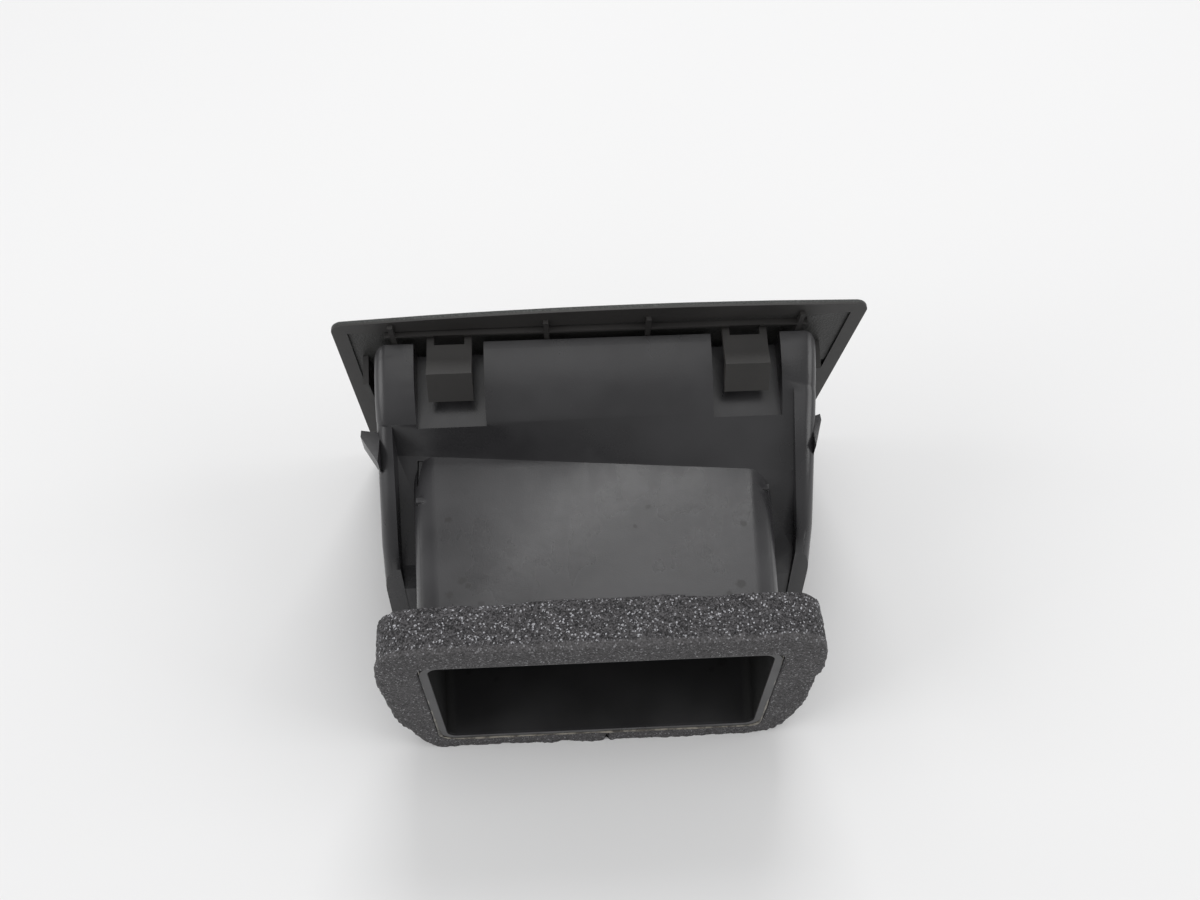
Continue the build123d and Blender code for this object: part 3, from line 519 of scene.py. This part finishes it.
# Painted shade: cell borders are coloured lighter than the cell hollows
strut = 1 - foam_finish.cells(CELL, "DISTANCE_TO_EDGE", place=warped).over(0.03, 0.16)
speck = foam_finish.cells(CELL * 0.55, place=warped, output="Color")
chance = foam_finish.node("ShaderNodeSeparateColor", {}, {0: speck})
broad = foam_finish.noise(7 * MM, 2.0, 0.5)
grey = foam_finish.mix(
    chance[0].over(0.15, 0.95) * 0.75 + strut * 0.25 + (broad - 0.5) * 0.35,
    (0.008, 0.008, 0.009), (0.105, 0.101, 0.106),
)
# Painted highlight: a few cells are coloured near white as glints
painted_glint = chance[1].over(0.90, 0.96)
with_painted_glints = foam_finish.mix(painted_glint * (0.85 - end_face * 0.35), grey, (0.46, 0.46, 0.49))
paler = foam_finish.mix(end_face * 0.35, with_painted_glints, (0.125, 0.120, 0.122))
foam_finish.set(
    Base_Color=paler,
    Roughness=0.9 - painted_glint * 0.6,
    Normal=foam_finish.bump(pit * -1.0 + chance[2] * 0.5, 0.55 * MM),
)

# %% The foam's shape
foam_low, foam_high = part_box("inlet_foam")
FOAM_STEPS, SECTION_STEPS = 780, 100
left, right_x, top_z = foam_low[0] / MM, foam_high[0] / MM, foam_high[2] / MM
FOOT_INSET, FOOT_DIP = 7.5, -1.2         # lower corners of the strip, before rounding, in mm
BULGE_LOW, BULGE_HIGH = 19, 60           # heights between which its sides bulge
outer_loop = rounded_loop(
    [
        (left + FOOT_INSET, FOOT_DIP), (right_x - FOOT_INSET, FOOT_DIP), (right_x - 0.2, BULGE_LOW),
        (right_x + 0.4, BULGE_HIGH), (right_x - 2, top_z + 0.5), (left + 2, top_z + 0.5),
        (left - 0.4, BULGE_HIGH), (left + 0.2, BULGE_LOW),
    ],
    13.0, FOAM_STEPS,
) * MM
half_duct = 47.4 + 0.12
INNER_FOOT, INNER_TOP, INNER_STEPS = 5.68, 59.82, 2400
middle_x = duct_x / MM
inner_loop = rounded_loop(
    [
        (middle_x - half_duct, INNER_FOOT), (middle_x + half_duct, INNER_FOOT),
        (middle_x + half_duct, INNER_TOP), (middle_x - half_duct, INNER_TOP),
    ],
    6.0, INNER_STEPS,
) * MM
gap = np.linalg.norm(outer_loop[:, None, :] - inner_loop[None, :, :], axis=-1)
inner_match = inner_loop[gap.argmin(axis=1)]
section = rounded_loop([(0, 0), (1, 0), (1, 1), (0, 1)], 0.10, SECTION_STEPS)
section = (section - section.min(0)) / (section.max(0) - section.min(0))
radial, axial = section[:, 0], section[:, 1]
plan = inner_match[:, None, :] + (outer_loop - inner_match)[:, None, :] * radial[None, :, None]
FOAM_DEEP = 12.4 * MM
upper = np.clip((plan[..., 1] / MM - 35) / 20, 0, 1)
proud = (0.2 + 1.0 * upper * upper * (3 - 2 * upper)) * MM
from_rim = FOAM_DEEP * (1 - axial)[None, :]
sideways = np.clip((plan[..., 0] - duct_x) / (44 * MM), -1, 1)
widen = DUCT_WIDEN * from_rim * (1 - radial)[None, :] * sideways
foam_y = inlet_y - from_rim + proud * axial[None, :]
foam_points = np.stack([plan[..., 0] + widen, foam_y, plan[..., 1]], axis=-1)
normals = grid_normals(foam_points)
outward = foam_points - foam_points.mean(axis=1, keepdims=True)
normals *= np.sign((normals * outward).sum(-1).mean())
free = np.clip(radial * 3.0, 0, 1)[None, :, None]
FOAM_LUMPS = ((13, 0.55, 11), (4.2, 0.28, 12), (1.5, 0.20, 13), (0.75, 0.16, 14))  # size, height, seed
rough_move = sum(lumps(foam_points, size * MM, seed) * height * MM for size, height, seed in FOAM_LUMPS)
JOINT_X = 0.2 * MM
joint_line = np.abs(foam_points[..., 0] - JOINT_X - lumps(foam_points, 3 * MM, 15) * 0.5 * MM)
at_joint = np.exp(-((joint_line / (0.55 * MM)) ** 2)) * (foam_points[..., 2] < 20 * MM)
rough_move = rough_move - at_joint * 1.6 * MM
foam_points = foam_points + normals * rough_move[..., None] * free
foam_points[..., 2] = np.maximum(foam_points[..., 2], 0.0)
foam = grid_piece("foam_gasket", foam_points, foam_finish, "root")
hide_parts("inlet_foam")

# %% [markdown]
# ## Adhesive under the foam
#
# The strip is held by a film of glue, and where foam and duct meet at the mouth a little has crept out. It
# is a thin wavy bead, shiny and slightly brown, and it shows most along the bottom, where the foam is
# squeezed. A tube carried round the duct's outline makes it, its radius changed by noise.

# %% Tape and adhesive bead
glue = Shader("adhesive", Roughness=0.28, Specular_IOR_Level=0.6)
glue_blots = glue.noise(2.5 * MM, 3.0, 0.6).over(0.35, 0.65)
glue.set(
    Base_Color=glue.mix(glue_blots, (0.050, 0.044, 0.036), (0.27, 0.25, 0.21)),
    Normal=glue.bump(glue.noise(0.9 * MM, 3.0, 0.6), 0.25 * MM),
)
BEAD_STEPS, BEAD_ROUND = 900, 8
bead_loop = rounded_loop(
    [(middle_x - 47.2, 5.95), (middle_x + 47.2, 5.95), (middle_x + 47.2, 59.5), (middle_x - 47.2, 59.5)],
    5.5, BEAD_STEPS,
) * MM
bead_centre = np.stack([bead_loop[:, 0], np.full(BEAD_STEPS, inlet_y - 0.15 * MM), bead_loop[:, 1]], axis=-1)
low_down = np.clip(1.3 - bead_loop[:, 1] / (26 * MM), 0, 1)
bead_radius = (0.16 + 0.30 * low_down) * MM * (1 + 0.6 * lumps(bead_centre, 3.5 * MM, 21))
outward_way = bead_loop - bead_loop.mean(0)
outward_way /= np.linalg.norm(outward_way, axis=1, keepdims=True)
turn = np.linspace(0, 2 * pi, BEAD_ROUND, endpoint=False)
bead_points = (
    bead_centre[:, None, :]
    + bead_radius[:, None, None] * np.cos(turn)[None, :, None]
    * np.stack([outward_way[:, 0], 0 * outward_way[:, 0], outward_way[:, 1]], axis=-1)[:, None, :]
    + bead_radius[:, None, None] * np.sin(turn)[None, :, None] * np.array([0.0, 1.0, 0.0])
)
grid_piece("adhesive_bead", bead_points, glue, "root")

# %% [markdown]
# ## Vanes, carrier, knob and damper
#
# The inner parts are small mouldings too. Their shapes are right in the CAD, so each gets the same rounding
# as the big shells, only finer: vanes are lens-shaped blades, and a rounding that starts at shallow angles
# melts their flats into one curve. Bars, rod, crank and bushes are natural white acetal, which runs dry
# against black plastic without squeaking.


# %% Softened copies on their own bodies
def soften(node, finish, width=0.35 * MM, segments=2, angle=24):
    """A merged copy of a CAD node whose edges are rounded to width, on the body that the node rides on."""
    body = next(name for name, nodes in frame["record"]["behaviour"]["bodies"].items() if node in nodes)
    return moulded_copy(node, node + "_soft", width, finish, body, angle, segments)


for number in range(1, 6):
    soften(f"horizontal_vane_{number}", vane_finish, 0.45 * MM, 3, 12)
for number in range(1, 8):
    soften(f"vertical_vane_{number}", vane_finish, 0.40 * MM, 3, 12)
soften("vane_carrier", carrier_finish, 0.4 * MM)
soften("damper_flap", flap_finish, 0.3 * MM)
soften("knob", knob_finish, 0.5 * MM, 3)
soften("thumbwheel", knob_finish, 0.25 * MM)
for node in ("horizontal_link", "vertical_link", "damper_rod", "damper_crank"):
    soften(node, acetal_finish, 0.2 * MM)
soften("damper_bushes", acetal_finish, 0.2 * MM)

# %% [markdown]
# ## Grips
#
# Fingers find the knob and the thumbwheel by touch, so both wear a ribbed rubber skin. The wheel's tread is
# a ring whose radius rises and falls many times round it. The knob's pad is a tube of flattened section,
# its thickness rippled along its length, and its ends drawn in to pinholes that are left open.

# %% Rubber, and the wheel's tread
rubber = Shader("grip_rubber", Roughness=0.7, Specular_IOR_Level=0.35)
rubber_blots = rubber.noise(4 * MM, 3.0, 0.6).over(0.35, 0.7)
rubber.set(
    Base_Color=rubber.mix(rubber_blots, (0.012, 0.012, 0.012), (0.026, 0.025, 0.024)),
    Roughness=rubber.noise(2 * MM, 3.0, 0.5) * 0.2 + 0.6,
    Normal=rubber.bump(rubber.noise(0.25 * MM, 2.0, 0.6), 0.03 * MM),
)
wheel_low, wheel_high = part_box("thumbwheel_grip")
wheel_joint = next(joint for joint in frame["joints"] if joint["name"] == "thumbwheel_turn")
wheel_centre = np.array(wheel_joint["pos_m"])
WHEEL_OUT = (wheel_high[2] - wheel_low[2]) / 2
TREAD_T, TREAD_RIBS = 1.2 * MM, 52
angle = np.linspace(0, 2 * pi, 624, endpoint=False)
tread = rounded_loop([(0, 0), (1, 0), (1, 1), (0, 1)], 0.16, 24)
tread = (tread - tread.min(0)) / (tread.max(0) - tread.min(0))
ripple = 0.30 * MM * (0.5 - 0.5 * np.cos(TREAD_RIBS * angle))
tread_radius = WHEEL_OUT - TREAD_T * (1 - tread[None, :, 1]) - ripple[:, None] * tread[None, :, 1]
tread_points = np.stack(
    [
        wheel_low[0] + (wheel_high[0] - wheel_low[0]) * tread[None, :, 0] + 0 * tread_radius,
        wheel_centre[1] + tread_radius * np.cos(angle)[:, None],
        wheel_centre[2] + tread_radius * np.sin(angle)[:, None],
    ], axis=-1,
)
tread_piece = grid_piece("thumbwheel_tread", tread_points, rubber, "thumbwheel_body")
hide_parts("thumbwheel_grip")

# %% The knob's ribbed pad
pad_low, pad_high = (np.array(corner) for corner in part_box("knob_grip"))
pad_centre = (pad_low + pad_high) / 2
inward, upward = np.array([0, cos(LEAN), -sin(LEAN)]), np.array([0, sin(LEAN), cos(LEAN)])
PAD_HALF = (5.5 * MM, 0.5 * MM, 1.5 * MM)
PAD_RIB = 1.1 * MM
along = np.sin(np.linspace(-pi / 2, pi / 2, 161))
around = np.linspace(0, 2 * pi, 32, endpoint=False)
ends = np.sqrt(np.maximum(1 - np.abs(along) ** 8, 1e-4))
rib = 1 + 0.35 * np.cos(2 * pi * along * PAD_HALF[0] / PAD_RIB)
FLATNESS = 0.55
thick = np.sign(np.cos(around)) * np.abs(np.cos(around)) ** FLATNESS * PAD_HALF[1]
tall = np.sign(np.sin(around)) * np.abs(np.sin(around)) ** FLATNESS * PAD_HALF[2]
pad_points = (
    pad_centre
    + (along * PAD_HALF[0])[:, None, None] * np.array([1.0, 0, 0])
    + (ends * rib)[:, None, None] * thick[None, :, None] * inward
    + ends[:, None, None] * tall[None, :, None] * upward
)
pad = grid_piece("knob_pad", pad_points, rubber, "knob_body", wrap=(False, True))
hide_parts("knob_grip")

# %% [markdown]
# ## Damper shaft, seal and tape
#
# The shaft is ground steel: fine rings round its axis. The seal is thin closed-cell foam stuck on the flap's
# edge, much finer than the gasket. The tape under the gasket hardly shows, and only needs the glue's finish.

# %% Steel, seal foam and tape
steel = Shader("shaft_steel", Metallic=1.0, Roughness=0.3)
rings = steel.noise(0.5 * MM, 3.0, 0.6, steel.stretched((6.0, 0.4, 0.4)))
steel.set(
    Base_Color=steel.mix(rings.over(0.3, 0.7), (0.42, 0.42, 0.43), (0.62, 0.62, 0.62)),
    Roughness=rings * 0.2 + 0.22,
    Normal=steel.bump(rings, 0.01 * MM),
)
seal_finish = Shader("seal_foam", Roughness=0.85, Specular_IOR_Level=0.3)
seal_cells = seal_finish.cells(0.35 * MM)
seal_finish.set(
    Base_Color=seal_finish.mix(seal_cells.over(0.1, 0.7), (0.030, 0.030, 0.030), (0.012, 0.012, 0.012)),
    Normal=seal_finish.bump(seal_cells * -1.0, 0.15 * MM),
)
seal = soften("damper_seal", seal_finish, 0.45 * MM, 3)
for node, finish in (("damper_shaft", steel), ("foam_tape", glue)):
    mesh = frame["nodes"][node].data
    mesh.materials.clear()
    mesh.materials.append(finish.material)
print("every node has its finish")
